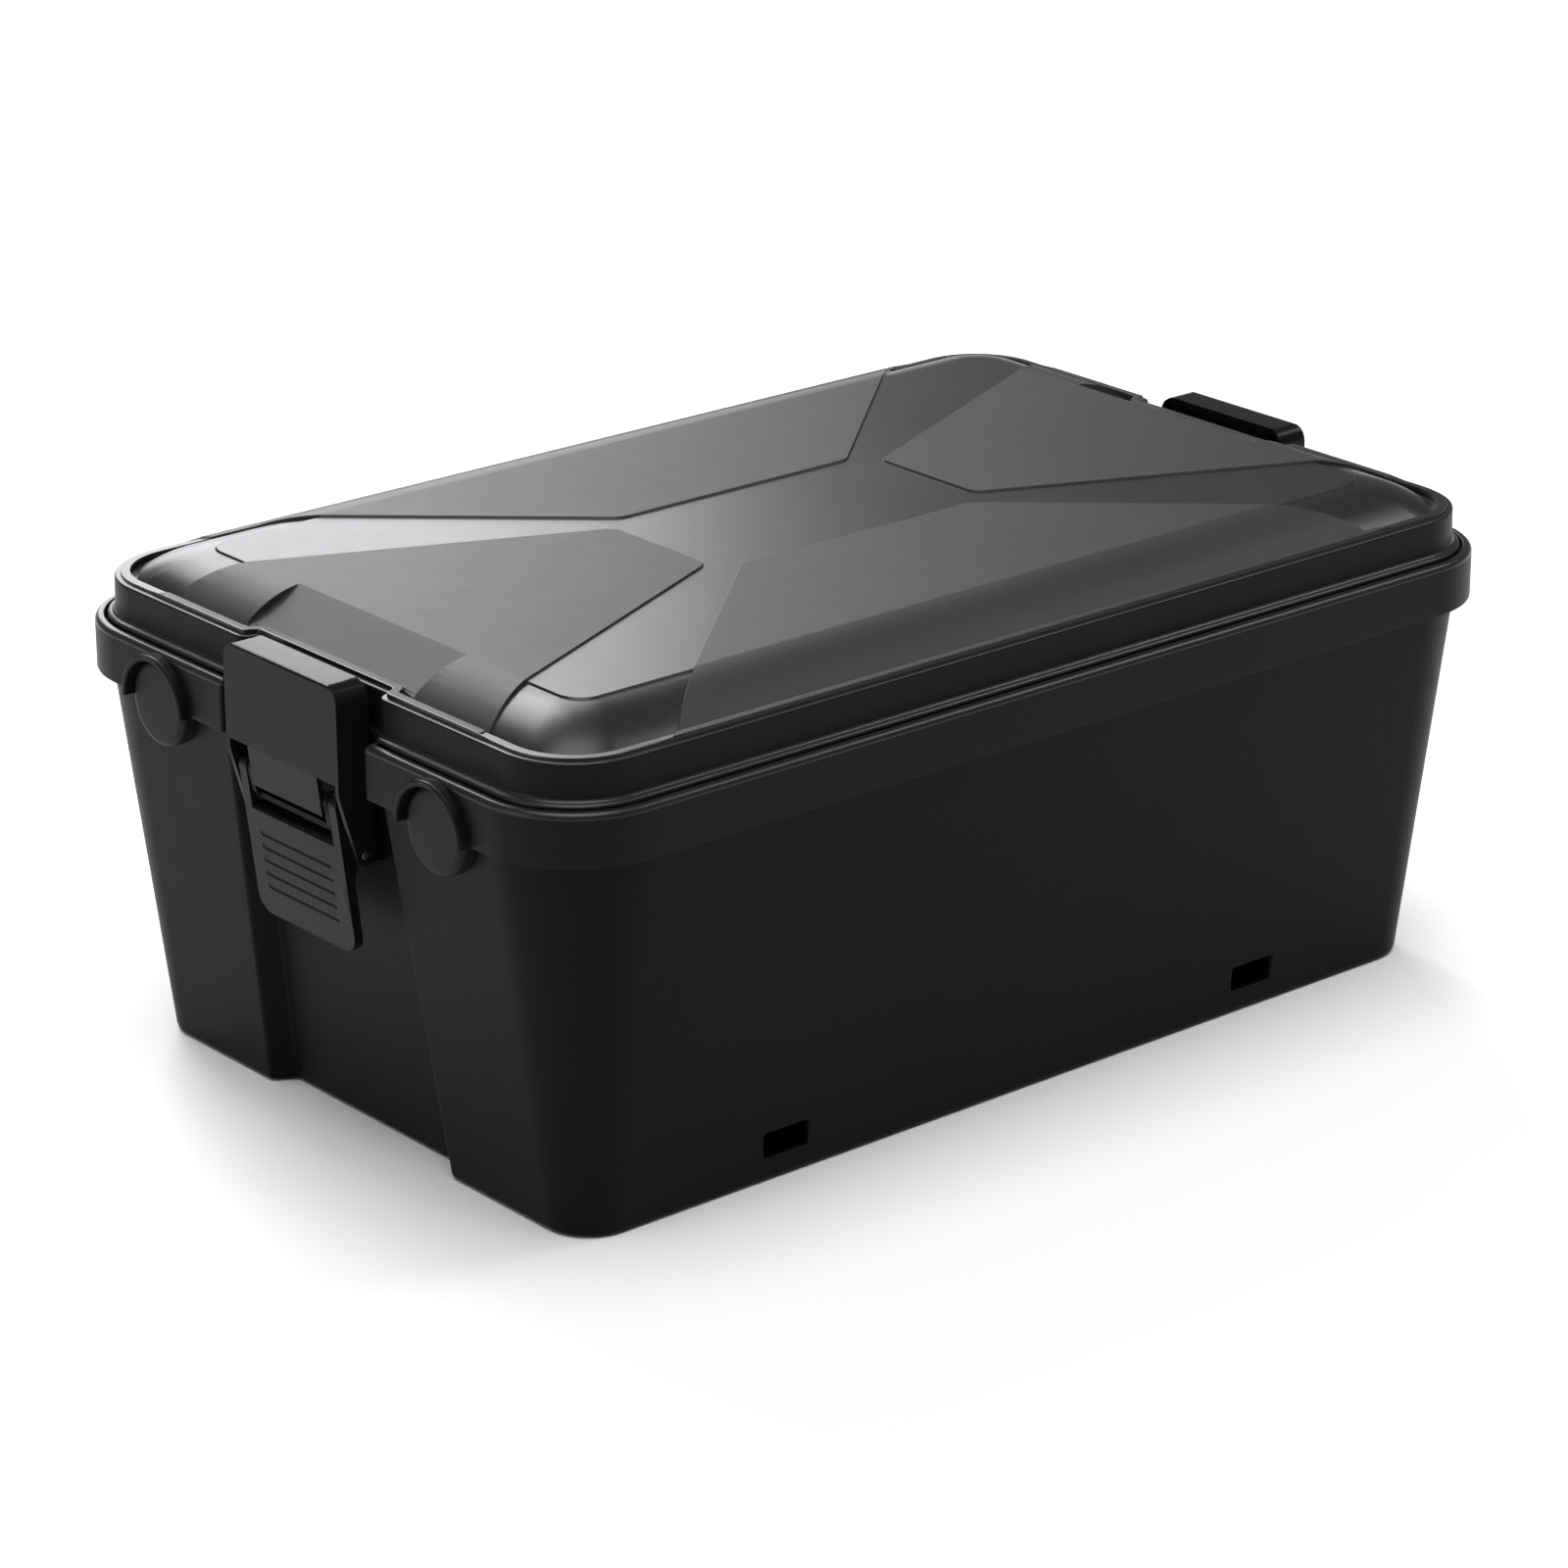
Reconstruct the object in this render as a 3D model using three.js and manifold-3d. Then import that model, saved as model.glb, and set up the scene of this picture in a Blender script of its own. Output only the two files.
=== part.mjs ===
// Battery box: tapered moulded tub with a deep rim skirt, a lift-off crowned lid with four raised
// panels, two over-centre draw latches on the end walls and four round cable entries with blanking
// plugs. Millimetres, +Z up, +X along the length, origin under the centre of the base.
import * as THREE from 'three';
import { mergeVertices } from 'three/addons/utils/BufferGeometryUtils.js';
import Module from 'manifold-3d';

const wasm = await Module();
wasm.setup();

// ---------- driving dimensions ----------
const RIM_HALF_LENGTH = 300;
const RIM_HALF_WIDTH = 195;
const RIM_CORNER = 50;
const RIM_BOTTOM = 190;
const RIM_TOP = 216;
const LEDGE_Z = 211;
const BASE_HALF_LENGTH = 269.4;
const BASE_HALF_WIDTH = 167.9;
const BASE_CORNER = 24;
const END_DRAFT = 0.131;
const SIDE_DRAFT = 0.1124;
const CORNER_GROWTH = 0.1368;
const WALL = 3;
const FLOOR = 3.5;
const CORNER_STEPS = 7;

const RECESS_DEPTH = 11;
const RECESS_MOUTH_LOW = 72;
const RECESS_MOUTH_HIGH = 60.5;
const RECESS_SIDE_RUN = 7;
const RIM_NOTCH = 55;
const PAD_HALF = 40;
const PAD_FACE = 286;

const PORT_Y = 107.5;
const PORT_Z = 190;
const HOOD_OUTER = 24.5;
const HOOD_INNER = 21.6;
const HOOD_FACE = 305;
const PLUG_RADIUS = 21;
const PLUG_FACE = 301;
const PORT_HOLE = 15;

const SLOT_X = 150.5;
const SLOT_HALF = 13.3;
const SLOT_LOW = 12.3;
const SLOT_HIGH = 24.9;

const LIP_LOW = 236.8;
const ARM_TOP = 248.0;
const PANEL_TOP = 249.0;
const CREASE_INSET = 53;
const LID_NOTCH = 56;
const FOOT_NOTCH = 62.5;
const NOTCH_FACE = 280;
const POCKET_HALF = 64.5;

const PIVOT = [-299, 181];
const LINK = [-291.5, 157];
const PIN_R = 2.6;
const HOLE_R = 2.72;
const LEVER_HALF = 37.7;
const ARM_INNER = 32;
const HOOK_HALF = 43.8;
const HOOK_INNER = 41;

// ---------- solids ----------
function solid(geometry) {
  const g = geometry.index ? geometry.toNonIndexed() : geometry.clone();
  for (const name of Object.keys(g.attributes)) {
    if (name !== 'position') g.deleteAttribute(name);
  }
  const m = mergeVertices(g, 1e-4);
  return new wasm.Manifold(new wasm.Mesh({
    numProp: 3,
    vertProperties: new Float32Array(m.attributes.position.array),
    triVerts: new Uint32Array(m.index.array),
  }));
}

function toGeometry(manifold) {
  const raw = manifold.getMesh();
  const g = new THREE.BufferGeometry();
  g.setAttribute('position', new THREE.BufferAttribute(new Float32Array(raw.vertProperties), 3));
  g.setIndex(new THREE.BufferAttribute(new Uint32Array(raw.triVerts), 1));
  g.computeVertexNormals();
  return g;
}

function material(color, roughness, metalness) {
  return new THREE.MeshStandardMaterial({ color, roughness, metalness });
}

function piece(name, manifold, mat) {
  const mesh = new THREE.Mesh(toGeometry(manifold), mat);
  mesh.name = name;
  return mesh;
}

function union(list) {
  return list.reduce((a, b) => a.add(b));
}

function cut(body, list) {
  return list.reduce((a, b) => a.subtract(b), body);
}

// Rounded rectangle in plan, counter-clockwise.
function roundedRing(hx, hy, r, z) {
  const ring = [];
  const centres = [[hx - r, hy - r, 0], [r - hx, hy - r, 1], [r - hx, r - hy, 2], [hx - r, r - hy, 3]];
  for (const [cx, cy, q] of centres) {
    for (let i = 0; i <= CORNER_STEPS; i += 1) {
      const a = (q + i / CORNER_STEPS) * Math.PI / 2;
      ring.push([cx + r * Math.cos(a), cy + r * Math.sin(a), z]);
    }
  }
  return ring;
}

// Closed body through a stack of rings with the same number of points, capped at both ends.
function loft(rings) {
  const n = rings[0].length;
  const points = rings.flat();
  const index = [];
  for (let k = 0; k < rings.length - 1; k += 1) {
    for (let i = 0; i < n; i += 1) {
      const j = (i + 1) % n;
      const a = k * n + i;
      const b = k * n + j;
      index.push(a, b, b + n, a, b + n, a + n);
    }
  }
  const cap = (ring) => THREE.ShapeUtils.triangulateShape(ring.map((p) => new THREE.Vector2(p[0], p[1])), []);
  const last = (rings.length - 1) * n;
  for (const [a, b, c] of cap(rings[0])) index.push(a, c, b);
  for (const [a, b, c] of cap(rings[rings.length - 1])) index.push(last + a, last + b, last + c);
  const g = new THREE.BufferGeometry();
  g.setAttribute('position', new THREE.BufferAttribute(new Float32Array(points.flat()), 3));
  g.setIndex(index);
  return solid(g);
}

// Prism of a counter-clockwise outline: 'z' takes (x, y), 'x' takes (y, z) and 'y' takes (x, z).
function prism(axis, outline, from, to) {
  const shape = new THREE.Shape(outline.map((p) => new THREE.Vector2(p[0], p[1])));
  const g = new THREE.ExtrudeGeometry(shape, { depth: to - from, bevelEnabled: false, steps: 1 });
  const basis = new THREE.Matrix4();
  const X = new THREE.Vector3(1, 0, 0);
  const Y = new THREE.Vector3(0, 1, 0);
  const Z = new THREE.Vector3(0, 0, 1);
  if (axis === 'z') {
    g.translate(0, 0, from);
  } else if (axis === 'x') {
    g.translate(0, 0, from);
    g.applyMatrix4(basis.makeBasis(Y, Z, X));
  } else {
    g.translate(0, 0, -to);
    g.applyMatrix4(basis.makeBasis(X, Z, Y.clone().negate()));
  }
  return solid(g);
}

function box(x0, x1, y0, y1, z0, z1) {
  const g = new THREE.BoxGeometry(x1 - x0, y1 - y0, z1 - z0);
  g.translate((x0 + x1) / 2, (y0 + y1) / 2, (z0 + z1) / 2);
  return solid(g);
}

// Cylinder along Y between y0 and y1, centred on (x, z).
function rodY(x, z, r, y0, y1, sides = 28) {
  const g = new THREE.CylinderGeometry(r, r, y1 - y0, sides);
  g.translate(x, (y0 + y1) / 2, z);
  return solid(g);
}

// Cylinder along X between x0 and x1, centred on (y, z).
function rodX(y, z, r, x0, x1, sides = 40) {
  const g = new THREE.CylinderGeometry(r, r, x1 - x0, sides);
  g.rotateZ(Math.PI / 2);
  g.translate((x0 + x1) / 2, y, z);
  return solid(g);
}

// Outline with each corner [x, y, radius] rounded.
function filleted(corners, steps = 5) {
  const out = [];
  const n = corners.length;
  for (let i = 0; i < n; i += 1) {
    const [x, y, r] = corners[i];
    const p = new THREE.Vector2(x, y);
    if (!r) {
      out.push([x, y]);
      continue;
    }
    const a = new THREE.Vector2(...corners[(i + n - 1) % n]).sub(p).normalize();
    const b = new THREE.Vector2(...corners[(i + 1) % n]).sub(p).normalize();
    const half = Math.acos(Math.max(-1, Math.min(1, a.dot(b)))) / 2;
    const t = r / Math.tan(half);
    const centre = a.clone().add(b).normalize().multiplyScalar(r / Math.sin(half)).add(p);
    const s = a.clone().multiplyScalar(t).add(p).sub(centre);
    const e = b.clone().multiplyScalar(t).add(p).sub(centre);
    const turn = Math.atan2(s.x * e.y - s.y * e.x, s.dot(e));
    for (let k = 0; k <= steps; k += 1) {
      const c = Math.cos(turn * k / steps);
      const d = Math.sin(turn * k / steps);
      out.push([centre.x + s.x * c - s.y * d, centre.y + s.x * d + s.y * c]);
    }
  }
  return out;
}

function mirrored(manifold) {
  return manifold.rotate([0, 0, 180]);
}

function bothEnds(manifold) {
  return [manifold, mirrored(manifold)];
}

// ---------- tub ----------
function tubRing(z, inset) {
  const hx = BASE_HALF_LENGTH + END_DRAFT * z - inset;
  const hy = BASE_HALF_WIDTH + SIDE_DRAFT * z - inset;
  const r = Math.max(BASE_CORNER + CORNER_GROWTH * z - inset, 6);
  return roundedRing(hx, hy, r, z);
}

function rimRing(z, inset) {
  const r = Math.max(RIM_CORNER - inset, 6);
  return roundedRing(RIM_HALF_LENGTH - inset, RIM_HALF_WIDTH - inset, r, z);
}

function floorX(z) {
  return BASE_HALF_LENGTH - RECESS_DEPTH + END_DRAFT * z;
}

// Channel of an end wall in plan at height z; grown outward by a wall thickness for its inner skin.
function channelRing(z, grow) {
  const t = z / RIM_BOTTOM;
  const mouth = RECESS_MOUTH_LOW + (RECESS_MOUTH_HIGH - RECESS_MOUTH_LOW) * t + grow;
  const xf = -floorX(z) + grow;
  const f = mouth - RECESS_SIDE_RUN;
  const slope = RECESS_SIDE_RUN / RECESS_DEPTH;
  const outer = 330;
  const m = f + slope * (outer + xf);
  return [[-outer, -m, z], [xf, -f, z], [xf, f, z], [-outer, m, z]];
}

function upperChannelRing(z, half, grow) {
  const xf = -floorX(z) + grow;
  return [[-330, -half, z], [xf, -half, z], [xf, half, z], [-330, half, z]];
}

function mountingPad() {
  const outline = filleted([
    [-PAD_FACE, 151.5, 1.2],
    [-276.5, 150],
    [-284.6, 214],
    [-PAD_FACE, 214],
  ]);
  return prism('y', outline, -PAD_HALF, PAD_HALF);
}

function makeTub() {
  const body = loft([tubRing(0, 2.4), tubRing(0.7, 0.7), tubRing(2.4, 0), tubRing(212, 0)]);
  const rim = loft([
    rimRing(RIM_BOTTOM, 0.7),
    rimRing(RIM_BOTTOM + 0.7, 0),
    rimRing(RIM_TOP - 2.8, 0),
    rimRing(RIM_TOP - 1.4, 0.4),
    rimRing(RIM_TOP - 0.4, 1.4),
    rimRing(RIM_TOP, 2.8),
  ]);
  const hoods = [];
  const hoodCuts = [];
  const holes = [];
  for (const y of [-PORT_Y, PORT_Y]) {
    const half = rodX(y, PORT_Z, HOOD_OUTER, -HOOD_FACE, -296, 48);
    hoods.push(half.subtract(box(-320, -280, y - 40, y + 40, PORT_Z - 40, PORT_Z)));
    hoodCuts.push(rodX(y, PORT_Z, HOOD_INNER, -HOOD_FACE - 10, -280, 44));
    holes.push(rodX(y, PORT_Z, PORT_HOLE, -HOOD_FACE - 10, -270, 36));
  }
  const gutter = loft([rimRing(RIM_BOTTOM - 3, 2.8), rimRing(206, 2.8)]);
  const keep = [];
  for (const y of [-PORT_Y, PORT_Y]) keep.push(box(-320, -280, y - 27, y + 27, 180, 220));
  keep.push(box(-320, -280, -64, 64, 180, 220));
  const gutterCut = cut(gutter, [body, ...keep, ...keep.map(mirrored)]);
  const bulge = union([
    loft([channelRing(-2, WALL), channelRing(RIM_BOTTOM, WALL)]),
    loft([upperChannelRing(RIM_BOTTOM - 0.5, 58.2, WALL), upperChannelRing(224, 58.2, WALL)]),
  ]);
  const cavity = loft([
    tubRing(FLOOR, WALL + 3),
    tubRing(FLOOR + 0.9, WALL + 0.9),
    tubRing(FLOOR + 3, WALL),
    tubRing(RIM_BOTTOM, WALL),
    rimRing(RIM_BOTTOM + 3, 9),
    rimRing(224, 9),
  ]);
  const ledge = loft([rimRing(LEDGE_Z, 4.5), rimRing(224, 4.5)]);
  const inside = cut(union([cavity, ledge]), bothEnds(bulge));
  const channel = union([
    loft([channelRing(-2, 0), channelRing(RIM_BOTTOM, 0)]),
    loft([upperChannelRing(RIM_BOTTOM - 0.5, RIM_NOTCH, 0), upperChannelRing(224, RIM_NOTCH, 0)]),
  ]);
  const slots = [];
  for (const x of [-SLOT_X, SLOT_X]) {
    slots.push(box(x - SLOT_HALF, x + SLOT_HALF, -190, 190, SLOT_LOW, SLOT_HIGH));
  }
  let tub = union([body, rim]).subtract(gutterCut);
  tub = union([tub, ...hoods, ...hoods.map(mirrored)]);
  const pockets = hoodCuts.map((c) => c.subtract(body));
  tub = cut(tub, [...pockets, ...pockets.map(mirrored)]);
  tub = cut(tub, bothEnds(channel));
  tub = cut(tub, [inside]);
  tub = union([tub, ...bothEnds(mountingPad())]);
  return cut(tub, [...holes, ...holes.map(mirrored), ...slots]);
}

function makePlug(y) {
  const wallGap = loft([tubRing(0, -0.3), tubRing(230, -0.3)]);
  const head = rodX(y, PORT_Z, PLUG_RADIUS, -PLUG_FACE + 1, -280, 44);
  const face = new THREE.CylinderGeometry(PLUG_RADIUS, PLUG_RADIUS - 1.2, 1.2, 44);
  face.rotateZ(-Math.PI / 2);
  face.translate(-PLUG_FACE + 0.6, y, PORT_Z);
  const faceSolid = solid(face);
  const spigot = rodX(y, PORT_Z, PORT_HOLE - 0.3, -296, -291.6, 36);
  return union([head.add(faceSolid).subtract(wallGap), spigot]);
}

// ---------- lid ----------
function lidRing(z, inset) {
  let r = RIM_CORNER - inset;
  if (inset > 21) r = 29 - (inset - 21) * 0.5;
  return roundedRing(RIM_HALF_LENGTH - inset, RIM_HALF_WIDTH - inset, r, z);
}

// Convex crown flank between the trough and the crease: circular arc, steep at the foot.
function flank(trough, crease, from, to) {
  const rings = [];
  const steps = 7;
  const chord = Math.hypot(to - from, crease - trough);
  const tilt = Math.atan2(crease - trough, to - from);
  const spread = 20 * Math.PI / 180;
  const radius = chord / 2 / Math.sin(spread);
  for (let i = 0; i <= steps; i += 1) {
    const a = spread - 2 * spread * i / steps;
    const along = chord / 2 - radius * Math.sin(a);
    const up = radius * (Math.cos(a) - Math.cos(spread));
    const d = from + along * Math.cos(tilt) - up * Math.sin(tilt);
    const z = trough + along * Math.sin(tilt) + up * Math.cos(tilt);
    rings.push(lidRing(z, d));
  }
  return rings;
}

function lidShell(lip, trough, crease) {
  return loft([
    lidRing(200.5, 10.2),
    lidRing(201.3, 9.6),
    lidRing(211.4, 9.6),
    lidRing(211.4, 6.3),
    lidRing(216.2, 6.3),
    lidRing(217.2, 7.0),
    lidRing(217.6, 8.2),
    lidRing(218.6, 9.5),
    lidRing(220.6, 10.0),
    lidRing(234.6, 10.2),
    lidRing(235.4, 11.0),
    lidRing(235.4, 13.1),
    lidRing(lip - 0.2, 13.3),
    lidRing(lip, 13.7),
    lidRing(lip, 18.0),
    lidRing(trough, 18.8),
    ...flank(trough, crease, 20.5, CREASE_INSET),
  ]);
}

function panelPrisms() {
  const side = filleted([
    [-72, -45.5, 12],
    [-231.5, -187.6, 0],
    [231.5, -187.6, 0],
    [72, -45.5, 12],
  ]);
  const end = filleted([
    [-84.5, 34.5, 9],
    [-293, 127.2, 0],
    [-293, -127.2, 0],
    [-84.5, -34.5, 9],
  ]);
  const low = 228;
  const high = 262;
  const bounds = loft([lidRing(low, 12.4), lidRing(high, 12.4)]);
  const prisms = union([
    ...bothEnds(prism('z', side, low, high)),
    ...bothEnds(prism('z', end, low, high)),
  ]);
  return prisms.intersect(bounds);
}

function makeLid() {
  const low = lidShell(LIP_LOW, 233.8, 247.1);
  const high = lidShell(LIP_LOW + 0.7, 234.8, PANEL_TOP);
  const arms = loft([lidRing(243, CREASE_INSET - 0.4), lidRing(ARM_TOP, CREASE_INSET - 0.4)]);
  let shell = union([low, high.intersect(panelPrisms()), arms]);
  const notchPlan = filleted([
    [-330, 58, 0],
    [-330, -58, 0],
    [-290, -LID_NOTCH, 1.5],
    [-NOTCH_FACE, -LID_NOTCH + 3.5, 3],
    [-NOTCH_FACE, LID_NOTCH - 3.5, 3],
    [-290, LID_NOTCH, 1.5],
  ]);
  const footPlan = [
    [-330, 66],
    [-330, -66],
    [-289.5, -FOOT_NOTCH],
    [-NOTCH_FACE, -FOOT_NOTCH + 3.5],
    [-NOTCH_FACE, FOOT_NOTCH - 3.5],
    [-289.5, FOOT_NOTCH],
  ];
  const notch = union([prism('z', notchPlan, 190, 262), prism('z', footPlan, 190, 216.4)]);
  const pocket = prism('y', [
    [-276, 236.7],
    [-247.4, 249.05],
    [-247.4, 262],
    [-292, 262],
    [-292, 237.5],
    [-276.4, 237.5],
  ], -POCKET_HALF, POCKET_HALF);
  const notchLip = box(-NOTCH_FACE, -275.6, -54, 54, 228, 237.5);
  shell = union([shell, ...bothEnds(notchLip)]);
  shell = cut(shell, [...bothEnds(notch), ...bothEnds(pocket)]);
  const hollow = loft([
    lidRing(190, 13),
    lidRing(231, 13.2),
    ...flank(231, 244.2, 23, CREASE_INSET + 1),
  ]);
  const pocketSkin = prism('y', [
    [-300, 229],
    [-278, 232.6],
    [-244.6, 246.9],
    [-244.6, 262],
    [-300, 262],
  ], -POCKET_HALF - 3, POCKET_HALF + 3);
  const notchSkin = union([
    box(-320, -NOTCH_FACE + 3, -59.5, 59.5, 180, 262),
    box(-320, -NOTCH_FACE + 3, -65.5, 65.5, 180, 219.4),
  ]);
  const inside = cut(hollow, [...bothEnds(pocketSkin), ...bothEnds(notchSkin)]);
  const catchBlock = box(-288.7, -NOTCH_FACE + 1, -36, 36, 217, 229);
  return union([cut(shell, [inside]), ...bothEnds(catchBlock)]);
}

// ---------- latch, drawn for the -X end ----------
function arcPoints(cx, cz, r, from, to, steps) {
  const out = [];
  for (let i = 0; i <= steps; i += 1) {
    const a = (from + (to - from) * i / steps) * Math.PI / 180;
    out.push([cx + r * Math.cos(a), cz + r * Math.sin(a)]);
  }
  return out;
}

function tabFaceX(z) {
  return -(281.1 + 0.125 * z);
}

function makeLever() {
  const tab = prism('y', [
    [tabFaceX(107), 107],
    [tabFaceX(107) + 4.6, 107.6],
    [tabFaceX(150) + 5, 150],
    [tabFaceX(163) + 5, 163.2],
    [tabFaceX(160.4) + 0.6, 161.4],
    [tabFaceX(160.4), 160.4],
  ], -LEVER_HALF, LEVER_HALF);
  const front = prism('x', filleted([
    [-LEVER_HALF, 107, 9],
    [LEVER_HALF, 107, 9],
    [LEVER_HALF, 200, 0],
    [-LEVER_HALF, 200, 0],
  ]), -320, -280);
  const cheekOutline = [
    [tabFaceX(178), 178],
    [tabFaceX(140), 140],
    [tabFaceX(140) + 4, 140],
    [-292.6, 151.6],
    ...arcPoints(LINK[0], LINK[1], 4.9, -70, 20, 6),
    ...arcPoints(PIVOT[0], PIVOT[1], 4.9, 20, 190, 9),
  ];
  const cheeks = [-1, 1].map((s) => {
    const y0 = s < 0 ? -LEVER_HALF : ARM_INNER;
    const y1 = s < 0 ? -ARM_INNER : LEVER_HALF;
    return prism('y', cheekOutline, y0, y1);
  });
  const grooves = [];
  for (let i = 0; i < 5; i += 1) {
    const z = 149.2 - 6.8 * i;
    grooves.push(rodY(tabFaceX(z) - 1.7, z, 2.6, -28.5, 28.5, 20));
  }
  const holes = [rodY(...PIVOT, HOLE_R, -60, 60), rodY(...LINK, HOLE_R, -60, 60)];
  return cut(union([tab.intersect(front), ...cheeks]), [...grooves, ...holes]);
}

function makeHookPlate() {
  const side = prism('y', [
    ...arcPoints(LINK[0], LINK[1], 5.1, -155, 0, 9),
    [-287.3, 205],
    [-288.4, 240.4],
    [-304.4, 240.4],
    [-305.5, 239.9],
    [-306, 238.8],
    [-306, 189],
  ], -HOOK_HALF, HOOK_HALF);
  const front = prism('x', filleted([
    [-HOOK_HALF, 140, 0],
    [HOOK_HALF, 140, 0],
    [HOOK_HALF, 240.4, 8.5],
    [-HOOK_HALF, 240.4, 8.5],
  ]), -320, -270);
  const hollow = prism('x', filleted([
    [-HOOK_INNER, 130, 0],
    [HOOK_INNER, 130, 0],
    [HOOK_INNER, 237.4, 6],
    [-HOOK_INNER, 237.4, 6],
  ]), -303, -270);
  const below = box(-320, -302, -HOOK_INNER, HOOK_INNER, 130, 193.5);
  const tongue = prism('y', [
    [-306, 195],
    [-306, 193.5],
    [-303.6, 174],
    [-301.4, 174],
    [-303, 188],
    [-303, 195],
  ], -27, 27);
  const returnLip = box(-291.6, -289, -36, 36, 231, 239);
  const capBack = box(-289, -280, -HOOK_INNER, HOOK_INNER, 225, 250);
  const holes = rodY(...LINK, HOLE_R, -60, 60);
  const shell = cut(side.intersect(front), [hollow, below, capBack]);
  return union([shell, tongue, returnLip]).subtract(holes);
}

function makeBracket() {
  const plate = box(-288.2, -286.3, -31.6, 31.6, 153, 206);
  const earOutline = [
    [-287, 161],
    [-287, 200],
    ...arcPoints(PIVOT[0], PIVOT[1], 4.7, 70, 200, 8),
    [-301.5, 170],
    [-298, 164.2],
  ];
  const ears = [-1, 1].map((s) => {
    const y0 = s < 0 ? -30.8 : 27.6;
    const y1 = s < 0 ? -27.6 : 30.8;
    return prism('y', earOutline.slice().reverse(), y0, y1);
  });
  const tie = box(-299.5, -297, -31.6, 31.6, 166.5, 169.3);
  const screwHoles = [];
  for (const y of [-18, 18]) {
    for (const z of [160, 199]) screwHoles.push(rodX(y, z, 2.4, -295, -280, 20));
  }
  return cut(union([plate, ...ears, tie]), [rodY(...PIVOT, HOLE_R, -60, 60), ...screwHoles]);
}

// Pan-head screw along X: its shank sits in the bracket's hole, its head on the bracket's plate.
function makeScrew(y, z) {
  const profile = [[0, 0], [2.1, 0], [2.1, 1.85], [4, 1.85], [3.9, 2.9], [3, 3.7], [1.2, 4.1], [0, 4.1]];
  const g = new THREE.LatheGeometry(profile.map((p) => new THREE.Vector2(p[0], p[1])), 20);
  g.rotateZ(Math.PI / 2);
  g.translate(-286.65, y, z);
  const recess = union([box(-294, -289.6, y - 1.9, y + 1.9, z - 0.5, z + 0.5),
    box(-294, -289.6, y - 0.5, y + 0.5, z - 1.9, z + 1.9)]);
  return solid(g).subtract(recess);
}

function makePivotPin() {
  return rodY(...PIVOT, PIN_R, -37.5, 37.5);
}

function makeLinkPin(sign) {
  return sign < 0 ? rodY(...LINK, PIN_R, -43.6, -32.2) : rodY(...LINK, PIN_R, 32.2, 43.6);
}

function latchGroup(tag) {
  const g = new THREE.Group();
  g.add(piece(`hook_plate_${tag}`, makeHookPlate(), material(0x232325, 0.5, 0)));
  g.add(piece(`lever_${tag}`, makeLever(), material(0x242426, 0.5, 0)));
  g.add(piece(`bracket_${tag}`, makeBracket(), material(0x1d1d1f, 0.6, 0)));
  g.add(piece(`pivot_pin_${tag}`, makePivotPin(), material(0x8d9094, 0.35, 1)));
  g.add(piece(`link_pin_a_${tag}`, makeLinkPin(-1), material(0x8d9094, 0.35, 1)));
  g.add(piece(`link_pin_b_${tag}`, makeLinkPin(1), material(0x8d9094, 0.35, 1)));
  let n = 0;
  for (const z of [160, 199]) {
    for (const y of [-18, 18]) {
      n += 1;
      g.add(piece(`bracket_screw_${n}_${tag}`, makeScrew(y, z), material(0x7d8084, 0.4, 1)));
    }
  }
  return g;
}

// ---------- assembly ----------
const group = new THREE.Group();
group.add(piece('tub', makeTub(), material(0x222224, 0.55, 0)));
group.add(piece('lid', makeLid(), material(0x252527, 0.5, 0)));
const nearEnd = new THREE.Group();
const farEnd = new THREE.Group();
farEnd.rotation.z = Math.PI;
for (const [end, tag] of [[nearEnd, 'near'], [farEnd, 'far']]) {
  end.add(piece(`port_plug_a_${tag}`, makePlug(-PORT_Y), material(0x232325, 0.5, 0)));
  end.add(piece(`port_plug_b_${tag}`, makePlug(PORT_Y), material(0x232325, 0.5, 0)));
  end.add(latchGroup(tag));
  group.add(end);
}

export default group;
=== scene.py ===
import bpy
import bmesh
import math
import numpy as np
from mathutils import Matrix, Vector
from mathutils.geometry import delaunay_2d_cdt


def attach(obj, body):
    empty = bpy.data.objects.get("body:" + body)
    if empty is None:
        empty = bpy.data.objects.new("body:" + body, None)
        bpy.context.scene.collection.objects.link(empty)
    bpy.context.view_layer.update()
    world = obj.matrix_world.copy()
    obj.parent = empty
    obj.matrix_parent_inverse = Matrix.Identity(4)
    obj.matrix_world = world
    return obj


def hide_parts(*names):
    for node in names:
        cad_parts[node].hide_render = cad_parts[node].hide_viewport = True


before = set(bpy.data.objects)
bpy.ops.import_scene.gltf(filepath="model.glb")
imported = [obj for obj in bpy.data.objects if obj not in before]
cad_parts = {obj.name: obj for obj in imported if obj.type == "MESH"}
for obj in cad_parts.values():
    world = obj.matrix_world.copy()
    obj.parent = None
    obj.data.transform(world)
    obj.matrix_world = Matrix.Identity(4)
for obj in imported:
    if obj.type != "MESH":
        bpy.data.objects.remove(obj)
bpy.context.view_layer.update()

# ---------- dimensions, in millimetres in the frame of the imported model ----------
# rim: half length, half width, corner radius, and the heights of its lower and upper edge
RIM_X, RIM_Y, RIM_R = 300.0, 195.0, 50.0
RIM_LOW, RIM_TOP = 190.0, 216.0
# tub walls: half length and half width at the base, lean per millimetre of height, recess, thickness
BASE_X, BASE_Y = 269.4, 167.9
END_DRAFT, SIDE_DRAFT = 0.131, 0.1124
RECESS_DEPTH = 11.0
WALL_T = 3.0
# cable entries and strap slots
PORT_Y, PORT_Z = 107.5, 190.0
STRAP_X, STRAP_LOW, STRAP_HIGH, STRAP_HALF = 150.5, 12.3, 24.9, 13.4
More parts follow.
